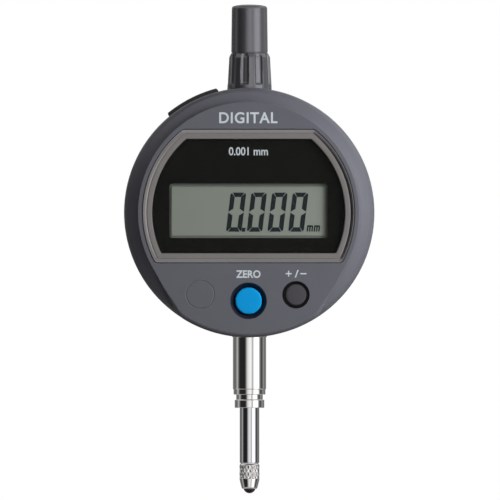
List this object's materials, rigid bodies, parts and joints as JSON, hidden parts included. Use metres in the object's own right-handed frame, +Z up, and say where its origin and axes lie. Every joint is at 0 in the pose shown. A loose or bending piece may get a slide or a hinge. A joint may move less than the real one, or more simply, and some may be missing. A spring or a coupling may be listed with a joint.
{
  "type": "digital dial indicator",
  "caption": "Digital dial indicator: round case with a windowed display and two keys, a clamping stem with a sprung sliding spindle and ball contact point, and a capped upper end.",
  "frame": {"origin": "middle of the stem's clamping cylinder, on the spindle axis", "axes": "+Z up the spindle axis towards the cap, the display faces -Y, the flat back faces +Y, +X to the right of the display"},
  "size_m": [0.06, 0.0242, 0.1176],
  "materials": {
    "case_shell": "satin dark grey paint, fine moulded texture",
    "black_plastic": "moulded black plastic",
    "frame_metal": "warm grey metallic lacquer, bevelled",
    "clear_lens": "clear hard-coated window",
    "mask_print": "gloss black printed mask",
    "lcd_glass": "grey-green reflective liquid crystal panel",
    "lcd_figures": "dark liquid crystal segments",
    "board_green": "solder resist",
    "component_black": "moulded electronic parts",
    "contact_rubber": "striped elastomer contact strip",
    "screw_steel": "bright plated steel",
    "cast_alloy": "die-cast, machined faces",
    "polished_steel": "ground and polished hardened steel",
    "bearing_bronze": "sintered bearing bronze",
    "black_rubber": "matt black rubber",
    "spring_steel": "spring steel",
    "contact_gold": "gold-plated contact",
    "ribbon_amber": "polyimide ribbon",
    "cell_steel": "nickel-plated cell can",
    "scale_glass": "etched copper scale",
    "carbide": "polished dark carbide",
    "button_blue": "moulded blue plastic",
    "button_grey": "moulded dark grey plastic",
    "cap_plastic": "moulded dark grey plastic, slight sheen",
    "lid_plastic": "moulded dark grey plastic"
  },
  "bodies": {
    "case": {"front_case": "case_shell", "rear_cover": "case_shell", "cover_screws": "screw_steel", "case_gasket": "black_rubber", "bezel_frame": "frame_metal", "window_lens": "clear_lens", "display_mask": "mask_print", "lcd_panel": "lcd_glass", "lcd_segments": "lcd_figures", "lcd_holder": "black_plastic", "contact_strips": "contact_rubber", "main_board": "board_green", "board_parts": "component_black", "board_screws": "screw_steel", "key_switches": "component_black", "chassis": "cast_alloy", "chassis_screws": "screw_steel", "stem": "polished_steel", "stem_bush": "bearing_bronze", "stem_collar": "polished_steel", "wiper_seal": "black_rubber", "cap_nipple": "polished_steel", "upper_bush": "bearing_bronze", "set_screws": "screw_steel", "sensor_board": "board_green", "sensor_bracket": "spring_steel", "sensor_screws": "screw_steel", "sensor_ribbon": "ribbon_amber", "guide_plate": "spring_steel", "guide_screws": "screw_steel", "stop_buffer": "black_rubber", "return_spring": "spring_steel", "battery_cell": "cell_steel", "battery_contacts": "contact_gold", "data_socket": "black_plastic", "socket_pins": "contact_gold", "lid_seal": "black_rubber"},
    "spindle_unit": {"spindle": "polished_steel", "contact_point": "polished_steel", "contact_ball": "carbide", "scale_holder": "cast_alloy", "scale_plate": "scale_glass", "guide_pin": "polished_steel", "holder_screw": "screw_steel", "spindle_clip": "spring_steel"},
    "origin_key": {"origin_button": "button_blue"},
    "sign_key": {"sign_button": "button_grey"},
    "cap": {"spindle_cap": "cap_plastic"},
    "socket_cover": {"socket_cap": "black_plastic"},
    "lid": {"battery_lid": "lid_plastic"}
  },
  "joints": [
    {"name": "spindle_travel", "type": "slide", "parent": "case", "child": "spindle_unit", "axis": [0, 0, 1], "range_m": [0, 0.0127], "stiffness_N_per_m": 55, "springref_m": -0.015, "deforming": ["return_spring"]},
    {"name": "origin_press", "type": "slide", "parent": "case", "child": "origin_key", "axis": [0, 1, 0], "range_m": [0, 0.0006], "stiffness_N_per_m": 900, "springref_m": -0.0006},
    {"name": "sign_press", "type": "slide", "parent": "case", "child": "sign_key", "axis": [0, 1, 0], "range_m": [0, 0.0006], "stiffness_N_per_m": 900, "springref_m": -0.0006},
    {"name": "cap_removal", "type": "slide", "parent": "case", "child": "cap", "axis": [0, 0, 1], "range_m": [0, 0.012]},
    {"name": "socket_cover_pull", "type": "slide", "parent": "case", "child": "socket_cover", "axis": [-0.454, 0, 0.891], "range_m": [0, 0.006]},
    {"name": "lid_turn", "type": "hinge", "parent": "case", "child": "lid", "pos_m": [-0.0155, 0.0095, 0.02775], "axis": [0, 1, 0], "range_deg": [0, 30]}
  ]
}
